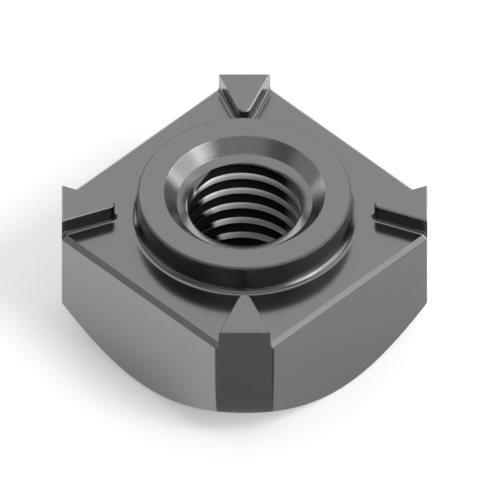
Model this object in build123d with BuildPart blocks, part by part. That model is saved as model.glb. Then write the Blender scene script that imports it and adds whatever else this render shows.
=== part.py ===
# Square weld nut for an M8 thread, in one piece, with a pilot collar and four weld projections.
#
# Millimetres, +Z up. The nut stands on its flat underside, the thread lies on the Z axis, and the origin is
# the centre of the underside. The flats of the square face along X and Y, so the cut corners, and the weld
# projections that stand on them, lie on the diagonals.

import os
from math import radians, sqrt, tan

from build123d import *

# Square body
across_flats = 18.0
body_height = 8.0
top_bevel = 0.3
upright_edge_radius = 0.3
underside_ring_inset = 0.25
underside_chamfer_angle = 45.0

# Pilot collar, which centres the nut in the hole of the sheet
collar_diameter = 12.9
collar_height = 2.0
collar_rim_radius = 0.15
collar_root_radius = 0.45

# Tapped hole, with its wall at the tapping size. The mouth in the collar is a steep cone, and a shallow ring
# inside it is where the thread starts.
tapping_diameter = 6.8
thread_start_width = 0.68
thread_start_depth = 0.26
collar_mouth_diameter = 9.7
collar_mouth_depth = 0.8
underside_mouth_diameter = 8.8
underside_mouth_depth = 0.6

# Weld projections, which melt first when the nut is welded to the sheet
corner_count = 4
projection_width = 3.1
projection_height = 1.15
projection_to_collar = 1.35
projection_tip_radius = 0.4
projection_root_radius = 0.25
projection_edge_break = 0.08
corner_face_step = 0.18

# Worked out from the sizes above
first_corner_angle = 180 / corner_count
half_diagonal = across_flats / sqrt(2)
corner_face_width = projection_width + 2 * corner_face_step
corner_face_distance = half_diagonal - corner_face_width / 2
corner_cut = corner_face_width / sqrt(2)
underside_ring_radius = across_flats / 2 - underside_ring_inset
chamfer_rise = (half_diagonal - underside_ring_radius) * tan(radians(underside_chamfer_angle))
top_height = body_height + collar_height
thread_start_radius = tapping_diameter / 2 + thread_start_width
thread_start_height = top_height - collar_mouth_depth
projection_tip_centre = collar_diameter / 2 + projection_to_collar + projection_tip_radius

# Plan of one weld projection, lying along +X: widest at the corner face, and narrowing in straight sides to
# a round tip that points at the thread
with BuildSketch() as projection_plan:
    with BuildLine():
        CenterArc((projection_tip_centre, 0), projection_tip_radius, 0, 360)
        Line(
            (corner_face_distance, -projection_width / 2),
            (corner_face_distance, projection_width / 2),
        )
    make_hull()

with BuildPart() as weld_nut:
    # Slice of square bar with its four corners cut off
    with BuildSketch() as bar_section:
        Rectangle(across_flats, across_flats)
        chamfer(bar_section.vertices(), corner_cut)
    extrude(amount=body_height)

    # Bevel along the upper edge of each flat, from corner face to corner face
    upper_edges = weld_nut.edges().group_by(Axis.Z)[-1]
    chamfer(upper_edges.filter_by(Axis.X) + upper_edges.filter_by(Axis.Y), top_bevel)

    # Rounded upright edges, where the flats meet the corner faces
    fillet(weld_nut.edges().filter_by(Axis.Z), upright_edge_radius)

    # Turned chamfer, which cuts the lower corners to a cone and leaves a round face to stand on
    with BuildSketch(Plane.XZ):
        with BuildLine():
            Polyline(
                (0, 0),
                (underside_ring_radius, 0),
                (half_diagonal, chamfer_rise),
                (half_diagonal, body_height),
                (0, body_height),
                close=True,
            )
        make_face()
    revolve(axis=Axis.Z, mode=Mode.INTERSECT)

    # A weld projection on each corner, flush with the corner face. It starts at the foot of the bevel, so
    # that its sides run down onto the bevels' ends. It is blended into the metal round its root, and its
    # upper edges are broken.
    with BuildSketch(Plane.XY.offset(body_height - top_bevel)):
        with PolarLocations(0, corner_count, start_angle=first_corner_angle):
            add(projection_plan.sketch)
    extrude(amount=top_bevel + projection_height)
    fillet(weld_nut.edges(Select.LAST).filter_by(Edge.is_interior), projection_root_radius)
    chamfer(weld_nut.edges().group_by(Axis.Z)[-1], projection_edge_break)

    # Pilot collar, blended into the upper face at its root and eased at its rim
    with BuildSketch(Plane.XY.offset(body_height)):
        Circle(collar_diameter / 2)
    extrude(amount=collar_height)
    collar_rings = weld_nut.edges(Select.LAST).filter_by(GeomType.CIRCLE)
    fillet(collar_rings.group_by(Axis.Z)[0], collar_root_radius)
    fillet(weld_nut.edges().group_by(Axis.Z)[-1], collar_rim_radius)

    # Tapped hole right through, with its mouths in the underside and in the collar
    with BuildSketch(Plane.XZ):
        with BuildLine():
            Polyline(
                (0, 0),
                (underside_mouth_diameter / 2, 0),
                (tapping_diameter / 2, underside_mouth_depth),
                (tapping_diameter / 2, thread_start_height - thread_start_depth),
                (thread_start_radius, thread_start_height),
                (collar_mouth_diameter / 2, top_height),
                (0, top_height),
                close=True,
            )
        make_face()
    revolve(axis=Axis.Z, mode=Mode.SUBTRACT)

weld_nut.part.label = "weld_nut"

os.makedirs("parts", exist_ok=True)
export_step(weld_nut.part, "parts/weld_nut.step")
print(f"across the cut corners {2 * corner_face_distance:.2f} mm, overall height {top_height:.2f} mm")
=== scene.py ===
# %% [markdown]
# # A square weld nut
# A weld nut is a small block of steel with a threaded hole. It is welded to the back of a sheet, and a
# screw that comes through the sheet finds the thread. This one is a slice of square bar with its corners
# cut off. A round collar on top centres it in the hole of the sheet, and four small projections on the
# corners melt first and make the weld.
#
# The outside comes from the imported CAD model, which is exact. What the model leaves to this script is the
# thread, the finish of the steel and the light. Everything is in metres and in the model's own frame, with
# the thread on the Z axis and the flat underside on the floor.

# %% Load the frame
import math

import bmesh
import bpy
from mathutils import Matrix, Vector


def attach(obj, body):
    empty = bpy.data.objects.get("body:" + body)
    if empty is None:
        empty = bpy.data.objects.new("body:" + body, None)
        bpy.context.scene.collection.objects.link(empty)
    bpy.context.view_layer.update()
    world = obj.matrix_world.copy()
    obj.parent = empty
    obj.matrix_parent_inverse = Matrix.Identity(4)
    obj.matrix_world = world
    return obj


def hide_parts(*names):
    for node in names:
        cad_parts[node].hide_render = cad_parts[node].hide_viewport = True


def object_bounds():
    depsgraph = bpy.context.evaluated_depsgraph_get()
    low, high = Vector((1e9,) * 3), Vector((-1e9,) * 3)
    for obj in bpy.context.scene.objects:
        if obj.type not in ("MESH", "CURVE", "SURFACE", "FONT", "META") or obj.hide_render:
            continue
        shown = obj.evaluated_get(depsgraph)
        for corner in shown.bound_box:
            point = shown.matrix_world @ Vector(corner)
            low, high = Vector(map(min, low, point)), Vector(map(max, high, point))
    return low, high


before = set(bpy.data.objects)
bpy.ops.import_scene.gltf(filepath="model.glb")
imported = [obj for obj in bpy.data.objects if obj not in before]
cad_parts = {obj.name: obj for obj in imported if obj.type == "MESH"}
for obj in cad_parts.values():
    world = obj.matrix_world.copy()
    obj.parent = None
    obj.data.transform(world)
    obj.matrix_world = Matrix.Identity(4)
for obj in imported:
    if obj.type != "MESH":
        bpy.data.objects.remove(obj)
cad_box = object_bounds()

MM = 0.001
_, (flat_reach, _, top_height) = cad_box
print("CAD box in mm:", [[round(value / MM, 3) for value in corner] for corner in cad_box])

# %% [markdown]
# ## The blank
# On the real nut, cold forming presses the whole outside in one go: the body, the collar and the
# projections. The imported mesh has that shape, and it could be dressed as it is. But its triangles are
# loose, and a hole can only be cut into a closed skin. So the blank is a copy whose corners are merged, and
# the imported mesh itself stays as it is.

# %% The blank
MERGE_DISTANCE = 0.001 * MM


def add_object(name, data):
    """A new object in the scene, at the origin and unturned."""
    made = bpy.data.objects.new(name, data)
    bpy.context.scene.collection.objects.link(made)
    return made


def merged_copy(node_name):
    """A new object with the mesh of a CAD node, its loose triangles joined at their corners."""
    shape = bmesh.new()
    shape.from_mesh(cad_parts[node_name].data)
    bmesh.ops.remove_doubles(shape, verts=shape.verts, dist=MERGE_DISTANCE)
    open_edges = sum(not edge.is_manifold for edge in shape.edges)
    mesh = bpy.data.meshes.new(node_name + "_blank")
    shape.to_mesh(mesh)
    shape.free()
    print(f"{mesh.name}: {len(mesh.polygons)} triangles, {open_edges} open edges")
    return add_object(mesh.name, mesh)


blank = merged_copy("weld_nut")

# %% [markdown]
# ## Helpers for node trees
# The thread and the finishes are both made by trees of nodes. A tree could be written with one line to make
# each node, one for each setting and one for each link, and would then be long and hard to follow. These
# helpers make, set and link a node in one call, so that a tree reads like the sums it does.

# %% Helpers for node trees


def add_node(tree, kind, inputs=None, **settings):
    """A new node in the tree. Each input is given by its label or number, and is a value or an output."""
    node = tree.nodes.new(kind)
    for name, value in settings.items():
        setattr(node, name, value)
    for name, value in (inputs or {}).items():
        if isinstance(value, bpy.types.NodeSocket):
            tree.links.new(value, node.inputs[name])
        else:
            node.inputs[name].default_value = value
    return node


def maths(tree, operation, *values):
    """The result of one sum on one, two or three numbers or outputs."""
    return add_node(tree, "ShaderNodeMath", dict(enumerate(values)), operation=operation).outputs[0]


def product(tree, first, *others):
    """Several numbers or outputs, multiplied."""
    for value in others:
        first = maths(tree, "MULTIPLY", first, value)
    return first


def mixed(tree, share, first, second):
    """A value that goes from the first to the second as the share goes from 0 to 1."""
    node = add_node(tree, "ShaderNodeMapRange", {"Value": share, "To Min": first, "To Max": second})
    return node.outputs["Result"]


def split_place(tree, place):
    """The three coordinates of a place, by their names."""
    return add_node(tree, "ShaderNodeSeparateXYZ", {0: place}).outputs


def hypotenuse(tree, first, second):
    """The long side of a right triangle with these two short sides."""
    squares = [maths(tree, "POWER", side, 2.0) for side in (first, second)]
    return maths(tree, "SQRT", maths(tree, "ADD", *squares))


def axis_distance(tree, place):
    """How far a place is from the Z axis."""
    axes = split_place(tree, place)
    return hypotenuse(tree, axes["X"], axes["Y"])


def dot_product(tree, first, second):
    """The dot product of two vectors."""
    node = add_node(tree, "ShaderNodeVectorMath", {0: first, 1: second}, operation="DOT_PRODUCT")
    return node.outputs["Value"]


# %% [markdown]
# ## The thread
# On the real nut a drill opens the hole, a countersink eases its mouths, and a tap then cuts one long
# groove that climbs by its pitch with every turn. What is left of the wall between two turns of the groove
# is a crest.
#
# The thread could be drawn as a bump in the material. But the hole is open to the eye, and its crests and
# grooves hide each other, so it has to be real. It is made here as the shop makes it. One tree of Geometry
# Nodes makes both tools, each by turning an outline round the axis: the drill once round and closed, and
# the tap many times round while it climbs. Two Boolean cuts then take them out of the blank.
#
# The blank already has a plain hole at the tapping size. The drill here is about 0.01 mm larger, so that it
# takes a skin off everywhere: two surfaces that lie exactly in one another are what a Boolean cut likes
# least.

# %% Sizes of the hole and its mouths
WALL_RADIUS = 3.41 * MM
START_RADIUS = 4.09 * MM
START_HEIGHT = 9.2 * MM
START_DEPTH = 0.26 * MM
TOP_MOUTH_RADIUS = 4.855 * MM
LOWER_MOUTH_RADIUS = 4.41 * MM
LOWER_MOUTH_DEPTH = 0.6 * MM
RUN_OUT = 1.0 * MM

# Where the easing of a corner starts and ends, as shares of the sides before and after it
WALL_HEAD_EASING = (0.02, 0.25)
START_RIM_EASING = (0.3, 0.08)

# %% Sizes of the thread
PITCH = 1.25 * MM
ROOT_RADIUS = 3.93 * MM
ROOT_WIDTH = 0.1 * MM
CREST_WIDTH = 0.5 * MM
CREST_RADIUS = 0.2 * MM

# How high the groove's middle stands over the X axis, and how many pitches below that its sweep starts,
# clear of the blank
THREAD_PHASE = 0.57 * MM
PITCHES_BELOW = 2.0
THREAD_TURNS = 8.57
FADE_TURNS = 0.1

# Slopes of a crest's round corner, in degrees, up to the flank's own, and how far into the open hole the
# tooth's foot reaches
FLANK_SLOPE = 60
CREST_SLOPES = (14, 29, 44, FLANK_SLOPE)
TOOTH_OVERLAP = 0.014 * MM

HOLE_SIZES = {
    "Pitch": PITCH,
    "Wall Radius": WALL_RADIUS,
    "Root Radius": ROOT_RADIUS,
    "Crest Width": CREST_WIDTH,
    "Root Width": ROOT_WIDTH,
    "Crest Radius": CREST_RADIUS,
    "Thread Phase": THREAD_PHASE,
    "Start Radius": START_RADIUS,
    "Start Height": START_HEIGHT,
    "Start Depth": START_DEPTH,
    "Top Mouth Radius": TOP_MOUTH_RADIUS,
    "Lower Mouth Radius": LOWER_MOUTH_RADIUS,
    "Lower Mouth Depth": LOWER_MOUTH_DEPTH,
}
print(f"thread: {THREAD_TURNS} turns of {PITCH / MM} mm, {(ROOT_RADIUS - WALL_RADIUS) / MM:.2f} mm deep")

# %% [markdown]
# ## Turning an outline into a tool
# A lathe makes a shape by turning an outline round an axis, and a screw is the same with a climb. A mesh
# grid is enough for both: one side of the grid counts the steps of the turn, and the other the corners of
# the outline. Each point of the grid is then put where its step and its corner say, and the points that
# meet are merged. The tap's tooth shrinks to nothing at both ends of its sweep, as a real thread runs out.

# %% Turning an outline
STEPS_PER_TURN = 144


def whole_maths(tree, operation, first, second):
    """The result of one sum on two whole numbers or outputs."""
    return add_node(tree, "FunctionNodeIntegerMath", {0: first, 1: second}, operation=operation).outputs[0]


def choose(tree, index, values):
    """The value in the list that the index points at, for every point of the geometry."""
    node = add_node(tree, "GeometryNodeIndexSwitch", {"Index": index}, data_type="FLOAT")
    while len(node.index_switch_items) < len(values):
        node.index_switch_items.new()
    for number, value in enumerate(values, start=1):
        if isinstance(value, bpy.types.NodeSocket):
            tree.links.new(value, node.inputs[number])
        else:
            node.inputs[number].default_value = value
    return node.outputs[0]


def turn_outline(tree, corners, turns, climb=0.0, fade_turns=0.0):
    """A closed solid, swept from an outline of (radius, height) corners that turns about the Z axis.

    The outline is drawn against the clock, seen with the axis on its left. With a fade, it shrinks to its
    first corner over that part of a turn at both ends of the sweep.
    """
    count = len(corners)
    steps = round(turns * STEPS_PER_TURN)
    grid = add_node(tree, "GeometryNodeMeshGrid", {"Vertices X": steps + 1, "Vertices Y": count})
    index = add_node(tree, "GeometryNodeInputIndex").outputs[0]
    step = whole_maths(tree, "DIVIDE_FLOOR", index, count)
    corner = whole_maths(tree, "MODULO", index, count)
    radius, height = (choose(tree, corner, [point[axis] for point in corners]) for axis in range(2))
    if fade_turns:
        from_end = whole_maths(tree, "MINIMUM", step, whole_maths(tree, "SUBTRACT", steps, step))
        depth = maths(tree, "MINIMUM", maths(tree, "DIVIDE", from_end, fade_turns * STEPS_PER_TURN), 1.0)
        radius = mixed(tree, depth, corners[0][0], radius)
        height = mixed(tree, depth, corners[0][1], height)
    part_turn = maths(tree, "DIVIDE", step, float(STEPS_PER_TURN))
    angle = maths(tree, "MULTIPLY", part_turn, math.tau)
    place = add_node(
        tree,
        "ShaderNodeCombineXYZ",
        {
            "X": product(tree, radius, maths(tree, "COSINE", angle)),
            "Y": product(tree, radius, maths(tree, "SINE", angle)),
            "Z": maths(tree, "ADD", height, product(tree, part_turn, climb)),
        },
    )
    moved = add_node(
        tree, "GeometryNodeSetPosition", {"Geometry": grid.outputs["Mesh"], "Position": place.outputs[0]}
    )
    closed = add_node(
        tree, "GeometryNodeMergeByDistance", {"Geometry": moved.outputs[0], "Distance": MERGE_DISTANCE}
    )
    return closed.outputs[0]


# %% [markdown]
# ## The two tools
# The drill's outline follows the hole from the countersink in the underside, up the wall, through the
# shallow ring where the thread starts, and out through the steep cone in the collar. Its two inner corners
# are eased a little, because a cutting edge never leaves a perfect corner, and an eased one catches the
# light.
#
# The tap's outline is one tooth. It is blunt at the tip, and flares at its foot, so that the crests that it
# leaves have round corners.

# %% The drill


def eased(tree, before, corner, after, shares):
    """Three points that round a corner of an outline, from a share of one side to a share of the next."""
    first = [mixed(tree, shares[0], corner[axis], before[axis]) for axis in range(2)]
    last = [mixed(tree, shares[1], corner[axis], after[axis]) for axis in range(2)]
    chord = [mixed(tree, 0.5, first[axis], last[axis]) for axis in range(2)]
    return first, [mixed(tree, 0.5, corner[axis], chord[axis]) for axis in range(2)], last


def drill(tree, given, start_bottom):
    """The drill, whose cones open the mouths. It runs out a little way above and below the blank."""
    top_slope = maths(
        tree,
        "DIVIDE",
        maths(tree, "SUBTRACT", given["Top Mouth Radius"], given["Start Radius"]),
        maths(tree, "SUBTRACT", top_height, given["Start Height"]),
    )
    lower_slope = maths(
        tree,
        "DIVIDE",
        maths(tree, "SUBTRACT", given["Lower Mouth Radius"], given["Wall Radius"]),
        given["Lower Mouth Depth"],
    )
    top = (maths(tree, "MULTIPLY_ADD", top_slope, RUN_OUT, given["Top Mouth Radius"]), top_height + RUN_OUT)
    foot = (maths(tree, "MULTIPLY_ADD", lower_slope, RUN_OUT, given["Lower Mouth Radius"]), -RUN_OUT)
    wall_foot = (given["Wall Radius"], given["Lower Mouth Depth"])
    wall_head = (given["Wall Radius"], start_bottom)
    start_rim = (given["Start Radius"], given["Start Height"])
    outline = [
        (0.0, -RUN_OUT),
        foot,
        wall_foot,
        *eased(tree, wall_foot, wall_head, start_rim, WALL_HEAD_EASING),
        *eased(tree, wall_head, start_rim, top, START_RIM_EASING),
        top,
        (0.0, top_height + RUN_OUT),
    ]
    return turn_outline(tree, outline, turns=1)


# %% The tap


def tap(tree, given):
    """The tap: one tooth that climbs from below the blank to the ring where the thread starts."""
    half_tip = product(tree, given["Root Width"], 0.5)
    half_gap = product(tree, maths(tree, "SUBTRACT", given["Pitch"], given["Crest Width"]), 0.5)
    middle = maths(tree, "SUBTRACT", given["Thread Phase"], product(tree, given["Pitch"], PITCHES_BELOW))
    flank_sine = math.sin(math.radians(FLANK_SLOPE))

    def crest_corner(slope):
        """Radius, and height over the middle of the groove, of a point on the round corner of a crest."""
        out = product(tree, given["Crest Radius"], 1 - math.cos(math.radians(slope)))
        along = product(tree, given["Crest Radius"], flank_sine - math.sin(math.radians(slope)))
        return maths(tree, "ADD", given["Wall Radius"], out), maths(tree, "ADD", half_gap, along)

    foot = (maths(tree, "SUBTRACT", given["Wall Radius"], TOOTH_OVERLAP), crest_corner(0)[1])
    half_tooth = [foot, *map(crest_corner, CREST_SLOPES), (given["Root Radius"], half_tip)]
    tooth = [(radius, maths(tree, "SUBTRACT", middle, reach)) for radius, reach in half_tooth]
    tooth += [(radius, maths(tree, "ADD", middle, reach)) for radius, reach in reversed(half_tooth)]
    return turn_outline(tree, tooth + tooth[:1], THREAD_TURNS, given["Pitch"], FADE_TURNS)


# %% [markdown]
# ## The tree that drills and taps
# A Boolean cut gives the faces that it leaves the material of the tool that left them. That sorts most of
# the nut's faces by themselves: what the tap has cut is the groove, whose finish is painted shade, and all
# else is steel. The crests and the two mouths are then picked by where they are and which way they face,
# and get finishes of their own.

# %% Picking the crests and the mouths


def with_finish(tree, geometry, finish, chosen=True):
    """The geometry with a finish on its chosen faces, or on all of them."""
    inputs = {"Geometry": geometry, "Selection": chosen, "Material": finish}
    return add_node(tree, "GeometryNodeSetMaterial", inputs).outputs["Geometry"]


def pick_crests(tree, given, start_bottom):
    """1 on the crests, with their round corners, which are what the tap leaves of the drilled wall."""
    place = add_node(tree, "GeometryNodeInputPosition").outputs[0]
    height = split_place(tree, place)["Z"]
    limit = maths(tree, "MULTIPLY_ADD", given["Crest Radius"], 0.5, given["Wall Radius"])
    return product(
        tree,
        maths(tree, "LESS_THAN", axis_distance(tree, place), limit),
        maths(tree, "LESS_THAN", height, start_bottom),
        maths(tree, "GREATER_THAN", height, given["Lower Mouth Depth"]),
    )


def pick_mouths(tree, given):
    """1 on the cones of the two mouths, which face the axis."""
    place = add_node(tree, "GeometryNodeInputPosition").outputs[0]
    facing = add_node(tree, "GeometryNodeInputNormal").outputs[0]
    height = split_place(tree, place)["Z"]
    upward = product(tree, height, split_place(tree, facing)["Z"])
    outward = maths(tree, "SUBTRACT", dot_product(tree, facing, place), upward)
    above = maths(tree, "GREATER_THAN", height, given["Start Height"])
    below = maths(tree, "LESS_THAN", height, given["Lower Mouth Depth"])
    return product(
        tree,
        maths(tree, "LESS_THAN", axis_distance(tree, place), given["Top Mouth Radius"]),
        maths(tree, "LESS_THAN", outward, 0.0),
        maths(tree, "MAXIMUM", above, below),
    )


# %% The tree that drills and taps


def drill_and_tap_tree(steel, turned, burnished, painted_shade_groove):
    """The tree that cuts the hole, its mouths and its thread into a blank."""
    tree = bpy.data.node_groups.new("drill_and_tap", "GeometryNodeTree")
    tree.interface.new_socket("Geometry", in_out="INPUT", socket_type="NodeSocketGeometry")
    tree.interface.new_socket("Geometry", in_out="OUTPUT", socket_type="NodeSocketGeometry")
    for name, value in HOLE_SIZES.items():
        tree.interface.new_socket(name, in_out="INPUT", socket_type="NodeSocketFloat").default_value = value
    given = add_node(tree, "NodeGroupInput").outputs
    start_bottom = maths(tree, "SUBTRACT", given["Start Height"], given["Start Depth"])

    cut = given["Geometry"]
    for tool, finish in ((drill(tree, given, start_bottom), steel), (tap(tree, given), painted_shade_groove)):
        operands = {"Mesh 1": cut, "Mesh 2": with_finish(tree, tool, finish)}
        boolean = add_node(tree, "GeometryNodeMeshBoolean", operands, operation="DIFFERENCE", solver="EXACT")
        cut = boolean.outputs["Mesh"]
    whole = add_node(tree, "GeometryNodeRealizeInstances", {"Geometry": cut}).outputs[0]

    in_groove = add_node(tree, "GeometryNodeMaterialSelection", {"Material": painted_shade_groove}).outputs[0]
    outside = add_node(tree, "FunctionNodeBooleanMath", {0: in_groove}, operation="NOT").outputs[0]
    whole = with_finish(tree, whole, steel, outside)
    whole = with_finish(tree, whole, burnished, pick_crests(tree, given, start_bottom))
    whole = with_finish(tree, whole, turned, pick_mouths(tree, given))
    add_node(tree, "NodeGroupOutput", {"Geometry": whole})
    return tree


# %% [markdown]
# ## Effects for the steel
# Bare steel is never one even grey. Each effect that more than one finish needs is a node group: built
# once, and placed in each material with its own values. All of them read Object coordinates, so the pattern
# is fixed in the metal and stays where it is when the nut or the camera moves.

# %% Helpers for the effects

# Noise stays near its middle, 0.5. This spreads it to about 1 on either side.
NOISE_SPREAD = 4.0


def shader_group(name, inputs, outputs):
    """A new shader group with named inputs and outputs, and the sockets to build between."""
    group = bpy.data.node_groups.new(name, "ShaderNodeTree")
    for label, value in inputs.items():
        kind = "NodeSocketColor" if isinstance(value, tuple) else "NodeSocketFloat"
        group.interface.new_socket(label, in_out="INPUT", socket_type=kind).default_value = value
    for label, kind in outputs.items():
        group.interface.new_socket(label, in_out="OUTPUT", socket_type=kind)
    return group, add_node(group, "NodeGroupInput").outputs, add_node(group, "NodeGroupOutput").inputs


def object_place(tree):
    """The place on the object, as a vector in metres."""
    return add_node(tree, "ShaderNodeTexCoord").outputs["Object"]


def radius_and_height(tree):
    """The distance from the Z axis and the height of the place on the object."""
    place = object_place(tree)
    return axis_distance(tree, place), split_place(tree, place)["Z"]


def noise_level(tree, size, detail=3.0):
    """Soft noise from about 0 to 1, with spots of the given size."""
    inputs = {"Vector": object_place(tree), "Scale": maths(tree, "DIVIDE", 1.0, size), "Detail": detail}
    return add_node(tree, "ShaderNodeTexNoise", inputs).outputs["Fac"]


def swing(tree, noise, amount):
    """A factor that swings about 1 by the amount, as the noise swings about a half."""
    from_middle = maths(tree, "SUBTRACT", noise, 0.5)
    return maths(tree, "ADD", product(tree, from_middle, amount, NOISE_SPREAD), 1.0)


def steady(tree, value, zero_at, one_at):
    """0 on the far side of one value and 1 on the far side of the other, with a smooth step between."""
    inputs = {"Value": value, "From Min": zero_at, "From Max": one_at}
    return add_node(tree, "ShaderNodeMapRange", inputs, interpolation_type="SMOOTHSTEP").outputs["Result"]


def band(tree, value, rise, fall):
    """1 inside a band of values. The rise and the fall each say where the mask is 0 and where it is 1."""
    return product(tree, steady(tree, value, *rise), steady(tree, value, *fall))


# %% [markdown]
# ### Tone and grain
# Where heat and oil have lain on the steel, its grey drifts between a cooler and a warmer tone over a few
# millimetres. Tumbling and handling leave a fine grain besides. An image could show both, but would have to
# be wrapped round all the faces of the nut. Noise fills the solid, so it needs no wrapping: large soft
# spots for the tone, and spots of a tenth of a millimetre for the grain.

# %% Groups for tone and grain

# Most of the noise lies between these levels, which get the cool tone and the warm one
TONE_SHARE = {"From Min": 0.35, "From Max": 0.65}


def make_tone_drift():
    """A tone that drifts between a cool and a warm one."""
    group, given, out = shader_group(
        "tone_drift",
        {"Cool Tone": (0.24, 0.25, 0.25, 1.0), "Warm Tone": (0.25, 0.25, 0.24, 1.0), "Size": 3 * MM},
        {"Color": "NodeSocketColor"},
    )
    drift = noise_level(group, given["Size"], detail=1.0)
    share = add_node(group, "ShaderNodeMapRange", {"Value": drift, **TONE_SHARE}).outputs["Result"]
    tones = {"Factor": share, "A": given["Cool Tone"], "B": given["Warm Tone"]}
    blend = add_node(group, "ShaderNodeMix", tones, data_type="RGBA")
    group.links.new(blend.outputs["Result"], out["Color"])
    return group


def make_fine_grain():
    """A factor for the tone and the roughness, and a height for the bump, of the same grain."""
    group, given, out = shader_group(
        "fine_grain",
        {"Size": 0.1 * MM, "Amount": 0.1},
        {"Factor": "NodeSocketFloat", "Height": "NodeSocketFloat"},
    )
    grain = noise_level(group, given["Size"], detail=4.0)
    group.links.new(swing(group, grain, given["Amount"]), out["Factor"])
    group.links.new(grain, out["Height"])
    return group


tone_drift = make_tone_drift()
fine_grain = make_fine_grain()
print("groups:", [group.name for group in (tone_drift, fine_grain)])

# %% [markdown]
# ### Turned rings, and worn edges with painted light
# A turning tool leaves fine rings round the axis. Noise along one line, from the axis outwards and up,
# gives rings of uneven strength, where a wave would give a gramophone record.
#
# Round edges that stand proud rub against other nuts in the bin. They are lighter there in patches, and
# duller all round. The lighter patches are partly painted light too, which lifts a dark line along the
# rims. The distance from the ring of the edge gives the mask, which costs nothing in triangles.

# %% Groups for turned rings, and worn edges with painted light
RING_DETAIL = 2.0
WORN_PATCH = 0.6 * MM
WORN_EDGE = (0.0, 0.4)


def make_turned_rings():
    """A factor for the tone, in fine uneven rings round the Z axis."""
    group, given, out = shader_group(
        "turned_rings", {"Spacing": 0.06 * MM, "Amount": 0.2}, {"Factor": "NodeSocketFloat"}
    )
    along = maths(group, "DIVIDE", maths(group, "ADD", *radius_and_height(group)), given["Spacing"])
    inputs = {"W": along, "Scale": 1.0, "Detail": RING_DETAIL}
    rings = add_node(group, "ShaderNodeTexNoise", inputs, noise_dimensions="1D").outputs["Fac"]
    group.links.new(swing(group, rings, given["Amount"]), out["Factor"])
    return group


def make_wear_and_painted_light_ring_edge():
    """A patchy mask round a ring edge, for wear and painted light, and an even one for its roughness."""
    group, given, out = shader_group(
        "wear_and_painted_light_ring_edge",
        {"Edge Radius": 6.4 * MM, "Edge Height": 9.95 * MM, "Width": 0.12 * MM},
        {"Mask": "NodeSocketFloat", "Edge": "NodeSocketFloat"},
    )
    reach, level = radius_and_height(group)
    across = maths(group, "SUBTRACT", reach, given["Edge Radius"])
    up = maths(group, "SUBTRACT", level, given["Edge Height"])
    near = mixed(group, maths(group, "DIVIDE", hypotenuse(group, across, up), given["Width"]), 1.0, 0.0)
    group.links.new(product(group, near, noise_level(group, WORN_PATCH)), out["Mask"])
    group.links.new(steady(group, near, *WORN_EDGE), out["Edge"])
    return group


turned_rings = make_turned_rings()
wear_and_painted_light_ring_edge = make_wear_and_painted_light_ring_edge()
print("groups:", [group.name for group in (turned_rings, wear_and_painted_light_ring_edge)])

# %% [markdown]
# ### Painted light and shade in the hole
# In the photo the crests end in black at the left, are brightest just beside it, and at the far right the
# grooves are as grey as the crests. Here all three are painted, by place: painted shade on the left side
# of the hole, a painted glint on the crests beside it, and at the far right lighter grooves and dimmer
# crests, as painted light and shade.
#
# So the painted shade is a matter of place, along one line across the hole, with an edge that leans a
# little as it goes down. Noise makes the edge uneven, since a straight one looks cut with a knife.

# %% The group for painted light and shade in the hole
# Painted light and shade in the hole are laid out along this line across it.
DIAGONAL = (math.sqrt(0.5), math.sqrt(0.5), 0.0)
SHADE_EDGE_PATCH = 0.7 * MM
SHADE_EDGE_DETAIL = 0.5
SHADE_EDGE_UNEVENNESS = 2.5

# Where each mask is 0 and where it is 1, past the edge of the painted shade, counted in softnesses
PAINTED_SHADE_STEP = (-0.9, 0.9)
RIGHT_SIDE_STEP = (-1.0, 1.0)
PAINTED_GLINT_STEP = (-5.0, 0.0)


def make_painted_hole_shading():
    """Masks of painted shade at the left of the hole, of its far right side, and of a painted glint beside.
    """
    group, given, out = shader_group(
        "painted_hole_shading",
        {"Painted Shade Edge": -0.62 * MM, "Painted Shade Slope": -0.27, "Right Side Edge": 2.65 * MM, "Softness": 0.35 * MM},
        {"Painted Shade": "NodeSocketFloat", "Right Side": "NodeSocketFloat", "Painted Glint": "NodeSocketFloat"},
    )
    across = dot_product(group, object_place(group), DIAGONAL)
    level = radius_and_height(group)[1]
    shade_edge = maths(group, "MULTIPLY_ADD", level, given["Painted Shade Slope"], given["Painted Shade Edge"])
    past_shade = maths(group, "DIVIDE", maths(group, "SUBTRACT", shade_edge, across), given["Softness"])
    past_right_edge = maths(group, "DIVIDE", maths(group, "SUBTRACT", across, given["Right Side Edge"]), given["Softness"])
    uneven = maths(group, "SUBTRACT", noise_level(group, SHADE_EDGE_PATCH, detail=SHADE_EDGE_DETAIL), 0.5)
    past_shade = maths(group, "MULTIPLY_ADD", uneven, SHADE_EDGE_UNEVENNESS, past_shade)
    group.links.new(steady(group, past_shade, *PAINTED_SHADE_STEP), out["Painted Shade"])
    group.links.new(steady(group, past_right_edge, *RIGHT_SIDE_STEP), out["Right Side"])
    group.links.new(steady(group, past_shade, *PAINTED_GLINT_STEP), out["Painted Glint"])
    return group


painted_hole_shading = make_painted_hole_shading()
print("group:", painted_hole_shading.name)

# %% [markdown]
# ## The finishes
# All four finishes start alike: with a tone that drifts and a fine grain, which moves the tone, the
# roughness and the bump together, as one scratch does. What differs is laid on top. The helper leaves the
# colour and the roughness loose, so that each finish can change them before they reach the shader.

# %% Helpers for the finishes
GRAIN_DEPTH = 0.05


def new_material(name):
    """An empty node material, with its tree and its shader."""
    material = bpy.data.materials.new(name)
    material.use_nodes = True
    tree = material.node_tree
    return material, tree, tree.nodes["Principled BSDF"]


def place_group(tree, group, **values):
    """A group placed in a material. Spaces in the names of its inputs are given as underscores."""
    node = tree.nodes.new("ShaderNodeGroup")
    node.node_tree = group
    for name, value in values.items():
        node.inputs[name.replace("_", " ")].default_value = value
    return node.outputs


def scaled(tree, color, factor):
    """A colour multiplied by a number."""
    node = add_node(tree, "ShaderNodeVectorMath", {0: color, "Scale": factor}, operation="SCALE")
    return node.outputs["Vector"]


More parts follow.
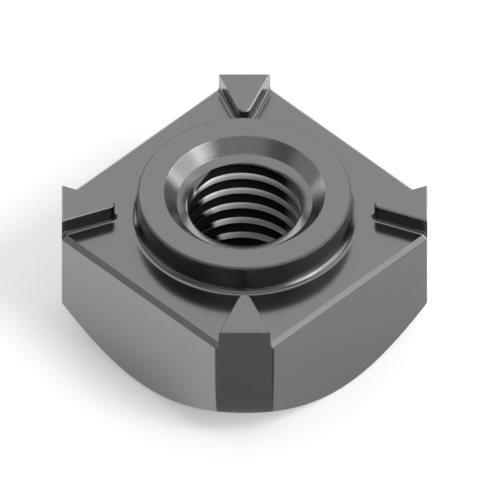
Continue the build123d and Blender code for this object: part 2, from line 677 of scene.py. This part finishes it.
def start_finish(name, cool_tone, warm_tone, roughness, grain_size, grain_amount, bump, metallic=1.0):
    """A finish with tone and grain: its material, tree and shader, and its loose colour and roughness."""
    material, tree, shader = new_material(name)
    tone = place_group(tree, tone_drift, Cool_Tone=(*cool_tone, 1.0), Warm_Tone=(*warm_tone, 1.0))
    grain = place_group(tree, fine_grain, Size=grain_size, Amount=grain_amount)
    relief = {"Height": grain["Height"], "Strength": bump, "Distance": grain_size * GRAIN_DEPTH}
    normal = add_node(tree, "ShaderNodeBump", relief).outputs["Normal"]
    tree.links.new(normal, shader.inputs["Normal"])
    shader.inputs["Metallic"].default_value = metallic
    color = scaled(tree, tone["Color"], grain["Factor"])
    return material, tree, shader, color, product(tree, grain["Factor"], roughness)


def link_finish(tree, shader, color, roughness):
    """Link the finished colour and roughness to the shader."""
    tree.links.new(color, shader.inputs["Base Color"])
    tree.links.new(roughness, shader.inputs["Roughness"])


# %% [markdown]
# ### The skin of the nut
# satin_steel is the skin, a plain dark steel. A nut could have one tone all over, but this one does not.
# Two opposite flats are darker: painted shade. The collar is duller than the rest, and its side is darker
# too: painted shade. Its rim is lighter in patches: partly wear, and partly painted light. The sharp upper
# edges of the projections are knocked light and rough, as they are the first to touch whatever the nut
# falls on.

# %% The skin of the nut
# Two opposite flats are darkened: painted shade.
SHADED_FLATS_FROM = (flat_reach - 0.08 * MM, flat_reach - 0.02 * MM)
FLAT_SHADE_TONE = 0.59

# The collar's side is darkened: painted shade.
COLLAR_SIDE = 6.45 * MM
COLLAR_SIDE_FIT = 0.03 * MM
COLLAR_SIDE_FROM = (8.1 * MM, 8.3 * MM)
COLLAR_SIDE_SHADE = 0.6

COLLAR_REACH = {"rise": (6.29 * MM, 6.32 * MM), "fall": (6.89 * MM, 6.8 * MM)}
COLLAR_LEVEL = {"rise": (7.9 * MM, 8.35 * MM), "fall": (9.998 * MM, 9.99 * MM)}
COLLAR_ROUGHNESS = 0.28

KNOCKED_FROM = (7.4 * MM, 7.5 * MM)
KNOCKED_LEVEL = {"rise": (9.06 * MM, 9.08 * MM), "fall": (9.149 * MM, 9.142 * MM)}
KNOCKED_LIFT = 1.0
KNOCKED_ROUGHNESS = 0.5

# The rims are lifted lighter in patches: partly wear, and partly painted light over a dark line.
WEAR_AND_PAINTED_LIGHT_LIFT = 0.45
WEAR_ROUGHNESS = 0.8


def make_satin_steel():
    """The skin, with painted shade on two flats and the collar side, painted light on worn rims, knocked
    edges.
    """
    material, tree, shader, color, roughness = start_finish(
        "satin_steel",
        cool_tone=(0.24, 0.253, 0.25),
        warm_tone=(0.25, 0.254, 0.245),
        roughness=0.17,
        grain_size=0.12 * MM,
        grain_amount=0.02,
        bump=0.1,
    )
    reach, level = radius_and_height(tree)
    from_middle = maths(tree, "ABSOLUTE", split_place(tree, object_place(tree))["X"])
    on_shaded_flats = steady(tree, from_middle, *SHADED_FLATS_FROM)
    at_side = maths(tree, "COMPARE", reach, COLLAR_SIDE, COLLAR_SIDE_FIT)
    on_shaded_collar_side = product(tree, at_side, steady(tree, level, *COLLAR_SIDE_FROM))
    on_collar = product(tree, band(tree, reach, **COLLAR_REACH), band(tree, level, **COLLAR_LEVEL))
    knocked = product(tree, steady(tree, reach, *KNOCKED_FROM), band(tree, level, **KNOCKED_LEVEL))
    wear_and_painted_light = place_group(tree, wear_and_painted_light_ring_edge)

    # Painted shade on two flats and on the collar's side, and painted light with the wear on the rims
    factor = product(
        tree,
        mixed(tree, on_shaded_flats, 1.0, FLAT_SHADE_TONE),
        mixed(tree, on_shaded_collar_side, 1.0, COLLAR_SIDE_SHADE),
        mixed(tree, wear_and_painted_light["Mask"], 1.0, 1.0 + WEAR_AND_PAINTED_LIGHT_LIFT),
        mixed(tree, knocked, 1.0, 1.0 + KNOCKED_LIFT),
    )
    roughness = mixed(tree, on_collar, roughness, COLLAR_ROUGHNESS)
    roughness = mixed(tree, wear_and_painted_light["Edge"], roughness, WEAR_ROUGHNESS)
    roughness = mixed(tree, knocked, roughness, KNOCKED_ROUGHNESS)
    link_finish(tree, shader, scaled(tree, color, factor), roughness)
    return material


steel = make_satin_steel()
print("finish:", steel.name)

# %% [markdown]
# ### The turned mouths
# turned_mouth is the steel in the cones of both mouths, where a countersink has cut through the dark skin.
# It is brighter and rougher than the skin, and has the fine rings of the tool. The edge where the cone
# meets the top of the collar is lighter: partly wear, and partly painted light.

# %% The turned mouths
MOUTH_RING_AMOUNT = 0.03


def make_turned_mouth():
    """Freshly cut steel with fine rings, and a worn upper edge lifted with painted light."""
    material, tree, shader, color, roughness = start_finish(
        "turned_mouth",
        cool_tone=(0.3, 0.314, 0.31),
        warm_tone=(0.31, 0.31, 0.3),
        roughness=0.27,
        grain_size=0.08 * MM,
        grain_amount=0.015,
        bump=0.03,
    )
    rings = place_group(tree, turned_rings, Amount=MOUTH_RING_AMOUNT)["Factor"]
    wear_and_painted_light = place_group(tree, wear_and_painted_light_ring_edge, Edge_Radius=TOP_MOUTH_RADIUS, Edge_Height=top_height)["Mask"]
    factor = product(tree, rings, mixed(tree, wear_and_painted_light, 1.0, 1.0 + WEAR_AND_PAINTED_LIGHT_LIFT))
    link_finish(tree, shader, scaled(tree, color, factor), roughness)
    return material


turned = make_turned_mouth()
print("finish:", turned.name)

# %% [markdown]
# ### The thread: crests and grooves
# burnished_crest is on the crests, which the tap rubs to a fine pale matt. They could be bright metal, but
# a mirror in a narrow hole shows only the dark hole. The photo's crests are bright because their rubbed
# surface scatters the light that falls in, so only a small part of this finish is metallic. On the left
# side of the hole the crests are painted black, as painted shade, and just beside it they get a painted
# glint. At the far right they are painted dimmer. Just under the upper mouth, past the end of the thread,
# the wall is painted darker too, as painted shade.
#
# The finish of the grooves paints them black, as painted shade, so that they take no light, except at the
# far right, where they are painted lighter.

# %% The crests
CREST_METALLIC = 0.12
# Painted shade on the crests at the left and at the far right, and a painted glint beside the left.
PAINTED_SHADE_CREST = 0.015
RIGHT_SIDE_CREST_SHADE = 0.6
PAINTED_GLINT = 1.45
# The wall under the upper mouth is darkened: painted shade.
UPPER_WALL_SHADE = 0.25
UPPER_WALL_SHADE_FROM = (8.45 * MM, 8.65 * MM)


def make_burnished_crest():
    """The pale crests: painted shade at the left, a painted glint beside it, and dimmer at the far right."""
    material, tree, shader, color, roughness = start_finish(
        "burnished_crest",
        cool_tone=(0.67, 0.685, 0.685),
        warm_tone=(0.685, 0.685, 0.67),
        roughness=0.35,
        grain_size=0.05 * MM,
        grain_amount=0.03,
        bump=0.1,
        metallic=CREST_METALLIC,
    )
    cover = place_group(tree, painted_hole_shading)
    level = radius_and_height(tree)[1]
    # Painted glint, painted shade at the left and the far right, and painted shade under the mouth
    factor = product(
        tree,
        mixed(tree, cover["Painted Glint"], 1.0, PAINTED_GLINT),
        mixed(tree, cover["Painted Shade"], 1.0, PAINTED_SHADE_CREST),
        mixed(tree, cover["Right Side"], 1.0, RIGHT_SIDE_CREST_SHADE),
        mixed(tree, steady(tree, level, *UPPER_WALL_SHADE_FROM), 1.0, UPPER_WALL_SHADE),
    )
    link_finish(tree, shader, scaled(tree, color, factor), roughness)
    tree.links.new(mixed(tree, cover["Painted Shade"], CREST_METALLIC, 1.0), shader.inputs["Metallic"])
    return material


burnished = make_burnished_crest()
print("finish:", burnished.name)

# %% The grooves
# The grooves are painted black as painted shade, and painted lighter at the far right.
RIGHT_SIDE_GROOVE_LIGHT = 60.0
GROOVE_GLOSS = 0.15


def make_painted_shade_groove_thread():
    """The groove, painted black as painted shade, and painted lighter at the far right."""
    material, tree, shader, color, roughness = start_finish(
        "painted_shade_groove_thread",
        cool_tone=(0.004, 0.004, 0.004),
        warm_tone=(0.005, 0.0045, 0.004),
        roughness=0.45,
        grain_size=0.2 * MM,
        grain_amount=0.15,
        bump=0.2,
        metallic=0.0,
    )
    factor = mixed(tree, place_group(tree, painted_hole_shading)["Right Side"], 1.0, RIGHT_SIDE_GROOVE_LIGHT)
    link_finish(tree, shader, scaled(tree, color, factor), roughness)
    shader.inputs["Specular IOR Level"].default_value = GROOVE_GLOSS
    return material


painted_shade_groove = make_painted_shade_groove_thread()
print("finish:", painted_shade_groove.name)

# %% [markdown]
# ## Cutting the hole
# The modifier runs the tree on the blank. It could stay live, but other tools may not know it, so its
# result is kept as a plain mesh and the modifier goes. The sizes are set by each input's identifier, which
# is the name that a modifier keeps them under.

# %% Cutting the hole


def applied(piece, name):
    """A plain object with the evaluated mesh of a piece, which it takes the place of."""
    evaluated = piece.evaluated_get(bpy.context.evaluated_depsgraph_get())
    mesh = bpy.data.meshes.new_from_object(evaluated)
    bpy.data.objects.remove(piece)
    mesh.name = name
    return add_object(name, mesh)


blank.data.materials.append(steel)
cutting = blank.modifiers.new("drill_and_tap", "NODES")
cutting.node_group = drill_and_tap_tree(steel, turned, burnished, painted_shade_groove)
for item in cutting.node_group.interface.items_tree:
    if item.in_out == "INPUT" and item.name in HOLE_SIZES:
        cutting[item.identifier] = HOLE_SIZES[item.name]
nut = applied(blank, "tapped_nut")
print(f"{nut.name}: finishes {[finish.name for finish in nut.data.materials]}")

# %% [markdown]
# ## Smooth shading
# The mesh has flat facets, and shading normals hide them: the light is worked out as if the surface bent
# smoothly from facet to facet. A nut has real edges too, which have to stay crisp. Smoothing by angle would
# keep them, but a Boolean cut leaves slivers whose own normals mean nothing. So the normal at each corner
# is worked out here: it is the average of the facets round that corner that face nearly the same way, and
# large facets count for more.
#
# The two rounds on the collar, at its rim and at its root, are so small and shiny that even this average
# shows. They are turned shapes, so their normals are known exactly: they point to or from the middle of the
# round.

# %% Smooth shading
SMOOTH_COSINE = math.cos(math.radians(20))
ROUND_FIT = 0.004 * MM
COLLAR_ROUNDS = (
    {"radius": 6.3 * MM, "height": 9.85 * MM, "size": 0.15 * MM, "hollow": False},
    {"radius": 6.9 * MM, "height": 8.45 * MM, "size": 0.45 * MM, "hollow": True},
)


def normal_on_round(place):
    """The exact normal at a place on one of the collar's rounds, or None elsewhere."""
    reach = place.xy.length
    for bend in COLLAR_ROUNDS:
        across, up = reach - bend["radius"], place.z - bend["height"]
        if bend["hollow"]:
            across, up = -across, -up
        on_round = abs(math.hypot(across, up) - bend["size"]) < ROUND_FIT
        if on_round and min(across, up) > -ROUND_FIT:
            return Vector((place.x * across / reach, place.y * across / reach, up)).normalized()
    return None


def smooth_shading(mesh):
    """Give each corner of the mesh a normal, shared by the facets round it that face nearly one way."""
    meeting = [[] for _ in mesh.vertices]
    for face in mesh.polygons:
        for corner in face.loop_indices:
            meeting[mesh.loops[corner].vertex_index].append((face.area, face.normal.copy(), corner))
    normals = [None] * len(mesh.loops)
    for vertex, group in zip(mesh.vertices, meeting):
        exact = normal_on_round(vertex.co)
        group.sort(key=lambda item: item[0], reverse=True)
        while group:
            lead = group[0][1]
            alike = [item for item in group if item[1].dot(lead) > SMOOTH_COSINE] or group[:1]
            group = [item for item in group if item not in alike]
            shared = exact or sum((area * normal for area, normal, _ in alike), Vector()).normalized()
            for _, _, corner in alike:
                normals[corner] = shared
    mesh.shade_smooth()
    mesh.normals_split_custom_set(normals)
    print(f"{mesh.name}: {sum(edge.use_edge_sharp for edge in mesh.edges)} sharp edges of {len(mesh.edges)}")


smooth_shading(nut.data)

# %% [markdown]
# ## The nut in the frame
# The cut nut takes the place of the CAD node, which stays on for the part's own physics. It rides on the
# part's only body. A count of its open edges shows whether the two cuts left a closed solid.

# %% The nut in the frame
counted = bmesh.new()
counted.from_mesh(nut.data)
triangles = sum(len(face.verts) - 2 for face in counted.faces)
open_edges = sum(not edge.is_manifold for edge in counted.edges)
volume = counted.calc_volume(signed=True) / MM**3
print(f"nut: {triangles} triangles, {open_edges} open edges, {volume:.0f} mm3")
counted.free()

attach(nut, "root")
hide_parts("weld_nut")

# %% [markdown]
# ## The floor
# The nut lies on a plain pale floor, which is pure white in the photo. More light would make it white, and
# would bleach the steel too. So the floor stays a light grey, and shines a little by itself: just enough to
# lift it to white. Light Path tells which ray asks, and only the camera, mirrors and glass see the lift. It
# lights nothing, and the nut's shadow stays on the floor.

# %% The floor
FLOOR_SIDE = 1.2
FLOOR_GREY = 0.85
FLOOR_LIFT = 0.345
MATT = 0.9
WHITE = (1, 1, 1, 1)

floor_mesh = bpy.data.meshes.new("floor")
floor_shape = bmesh.new()
bmesh.ops.create_grid(floor_shape, x_segments=1, y_segments=1, size=FLOOR_SIDE / 2)
floor_shape.to_mesh(floor_mesh)
floor_shape.free()
floor = add_object("floor", floor_mesh)

pale, pale_tree, pale_shader = new_material("pale_floor")
pale_shader.inputs["Base Color"].default_value = (FLOOR_GREY, FLOOR_GREY, FLOOR_GREY, 1)
pale_shader.inputs["Roughness"].default_value = MATT
pale_shader.inputs["Emission Color"].default_value = WHITE
path = add_node(pale_tree, "ShaderNodeLightPath").outputs
indirect = maths(pale_tree, "ADD", path["Is Glossy Ray"], path["Is Transmission Ray"])
seen = maths(pale_tree, "MINIMUM", maths(pale_tree, "ADD", path["Is Camera Ray"], indirect), 1.0)
pale_tree.links.new(product(pale_tree, seen, FLOOR_LIFT), pale_shader.inputs["Emission Strength"])
floor_mesh.materials.append(pale)
print(f"floor: {FLOOR_SIDE} m square")

# %% [markdown]
# ## The camera
# The photo looks along a diagonal of the square and down at 45 degrees. Its upright edges stay parallel, so
# it was taken from far off with a long lens. A camera without perspective is the simplest match: it needs a
# direction, a width and a middle, and no distance. The width and the middle were found by setting the nut's
# outline on the photo's.

# %% The camera
VIEW_WIDTH = 28.88 * MM
VIEW_AZIMUTH = math.radians(45)
VIEW_ELEVATION = math.radians(45)
UPPER_FACE = 8 * MM
MIDDLE_RIGHT = -0.274 * MM
MIDDLE_UP = -1.433 * MM
CAMERA_DISTANCE = 0.2

camera_right = Vector((math.cos(VIEW_AZIMUTH), math.sin(VIEW_AZIMUTH), 0))
toward_camera = Vector((math.sin(VIEW_AZIMUTH), -math.cos(VIEW_AZIMUTH), 0))
camera_back = toward_camera * math.cos(VIEW_ELEVATION) + Vector((0, 0, math.sin(VIEW_ELEVATION)))
camera_up = camera_back.cross(camera_right)
view_centre = Vector((0, 0, UPPER_FACE)) + MIDDLE_RIGHT * camera_right + MIDDLE_UP * camera_up

camera_data = bpy.data.cameras.new("camera")
camera_data.type = "ORTHO"
camera_data.ortho_scale = VIEW_WIDTH
camera_data.clip_start = 0.01
camera_data.clip_end = 5.0
camera = add_object("camera", camera_data)
turned_to_nut = Matrix((camera_right, camera_up, camera_back)).transposed().to_4x4()
camera.matrix_world = Matrix.Translation(view_centre + CAMERA_DISTANCE * camera_back) @ turned_to_nut
bpy.context.scene.camera = camera
print(f"camera: {VIEW_WIDTH / MM:.2f} mm wide, looking at", [round(value / MM, 2) for value in view_centre])

# %% [markdown]
# ## The lamps
# Steel is a mirror, if a dull one: its surfaces show what stands around them. So each lamp is placed by the
# surface that mirrors it. The upper faces show the overhead light. The cone in the collar shows at its left
# side what stands to the right, and the other way about, and the small rounds show a little of everything.
# One large lamp would make them all alike. Soft boxes with dark gaps between them draw the bands that make
# steel look like steel.
#
# The floor and the crests of the thread don't mirror. They need light that falls on them, and get it from
# two lamps of their own. A mirror would show these as bright spots, so they are hidden from it. The place,
# size and brightness of each lamp were tried out, until the render looked like the photo.

# %% The lamps
LAMP_DISTANCE = 0.5


def softbox(name, bearing, elevation, width, height, brightness):
    """A flat, even lamp that faces the nut.

    The bearing is clockwise from straight behind the nut, as the camera sees it. The width and height are
    angles too, as the nut sees them, and a brightness of 1 looks white in a mirror.
    """
    turn = math.radians(bearing) - VIEW_AZIMUTH
    rise = math.radians(elevation)
    direction = Vector((math.sin(turn) * math.cos(rise), math.cos(turn) * math.cos(rise), math.sin(rise)))
    data = bpy.data.lights.new(name, "AREA")
    data.shape = "RECTANGLE"
    data.size = 2 * LAMP_DISTANCE * math.tan(math.radians(width / 2))
    data.size_y = 2 * LAMP_DISTANCE * math.tan(math.radians(height / 2))
    data.energy = brightness * data.size * data.size_y * math.pi
    lamp = add_object(name, data)
    lamp.location = direction * LAMP_DISTANCE
    lamp.rotation_mode = "QUATERNION"
    lamp.rotation_quaternion = direction.to_track_quat("Z", "Y")
    return lamp


# Mirrored by the upper faces, by what leans back, and by what faces the camera
softbox("overhead_light", -1, 63, 68, 72, 0.74)
softbox("back_light", 0, 8, 56, 22, 1.5)
softbox("front_fill", 180, 52, 50, 30, 0.32)

# Mirrored by the right side of the cone and by what faces left
softbox("left_light", -85, 24, 40, 24, 0.3)
softbox("low_left_light", -54, 8, 18, 12, 1.6)

# Mirrored by the left side of the cone, with its two highlights, and by what faces right
softbox("right_light", 92, 27, 40, 28, 1.0)
softbox("front_right_light", 122, 23, 26, 30, 2.35)
softbox("right_spot", 68, 14, 12, 12, 2.4)
softbox("high_right_light", 76, 48, 36, 16, 0.35)
softbox("low_right_light", 42, 17, 14, 14, 1.5)
softbox("edge_light", 102, 10, 38, 14, 2.1)

# Light for the floor and for the crests of the thread, which no mirror shows
for matt_lamp in (
    softbox("key_light", -30, 45, 22, 22, 0.5),
    softbox("bore_light", 122, 50, 20, 20, 10.0),
):
    matt_lamp.visible_glossy = False
print("lamps:", [lamp.name for lamp in bpy.data.lights])

# %% [markdown]
# ## The dark card
# The face of the front corner mirrors the floor before the nut, as the flats mirror the floor at the sides.
# But it is dark in the photo, where that floor lies in the nut's shade. A grey card on the table, just
# outside the picture, paints that shade into the reflection: painted shade. Only reflections see the card,
# so it casts no shadow and takes no light from the floor.

# %% The dark card
CARD_START = 13.0 * MM
CARD_DEPTH = 60 * MM
CARD_WIDTH = 60 * MM
CARD_HEIGHT = 0.2 * MM
# The card's grey is painted shade, seen only in the front corner's reflection.
CARD_GREY = 0.31

near_edge = CARD_START * toward_camera + Vector((0, 0, CARD_HEIGHT))
far_edge = near_edge + CARD_DEPTH * toward_camera
half_card = CARD_WIDTH / 2 * camera_right
card_corners = [near_edge - half_card, far_edge - half_card, far_edge + half_card, near_edge + half_card]
card_mesh = bpy.data.meshes.new("painted_shade_card")
card_mesh.from_pydata(card_corners, [], [(0, 1, 2, 3)])
card = add_object("painted_shade_card", card_mesh)
card.visible_camera = False
card.visible_shadow = False
card.visible_diffuse = False

dark, _, dark_shader = new_material("painted_shade_card")
dark_shader.inputs["Base Color"].default_value = (CARD_GREY, CARD_GREY, CARD_GREY, 1)
dark_shader.inputs["Roughness"].default_value = MATT
card_mesh.materials.append(dark)
print(f"card: from {CARD_START / MM:.0f} mm before the axis, grey {CARD_GREY}")

# %% [markdown]
# ## The room
# Between the lamps the steel shows the room. An even room would fill the dark gaps with grey. This one is
# dim, and darker still near the horizon. The cone in the collar and the small rounds mirror that part of
# it, and need it dark between their highlights.

# %% The room
HORIZON_FOOT = math.sin(math.radians(5))
HORIZON_TOP = math.sin(math.radians(10))
HORIZON_LEVEL = 0.05
ROOM_LEVEL = 0.18

world = bpy.data.worlds.new("studio")
world.use_nodes = True
bpy.context.scene.world = world
looking = add_node(world.node_tree, "ShaderNodeTexCoord").outputs["Generated"]
dimming = add_node(
    world.node_tree,
    "ShaderNodeMapRange",
    {
        "Value": split_place(world.node_tree, looking)["Z"],
        "From Min": HORIZON_FOOT,
        "From Max": HORIZON_TOP,
        "To Min": HORIZON_LEVEL,
        "To Max": ROOM_LEVEL,
    },
)
background = world.node_tree.nodes["Background"]
background.inputs["Color"].default_value = WHITE
world.node_tree.links.new(dimming.outputs["Result"], background.inputs["Strength"])

bpy.context.scene.view_settings.view_transform = "Standard"
print(f"room: {ROOM_LEVEL} above, {HORIZON_LEVEL} at the horizon")
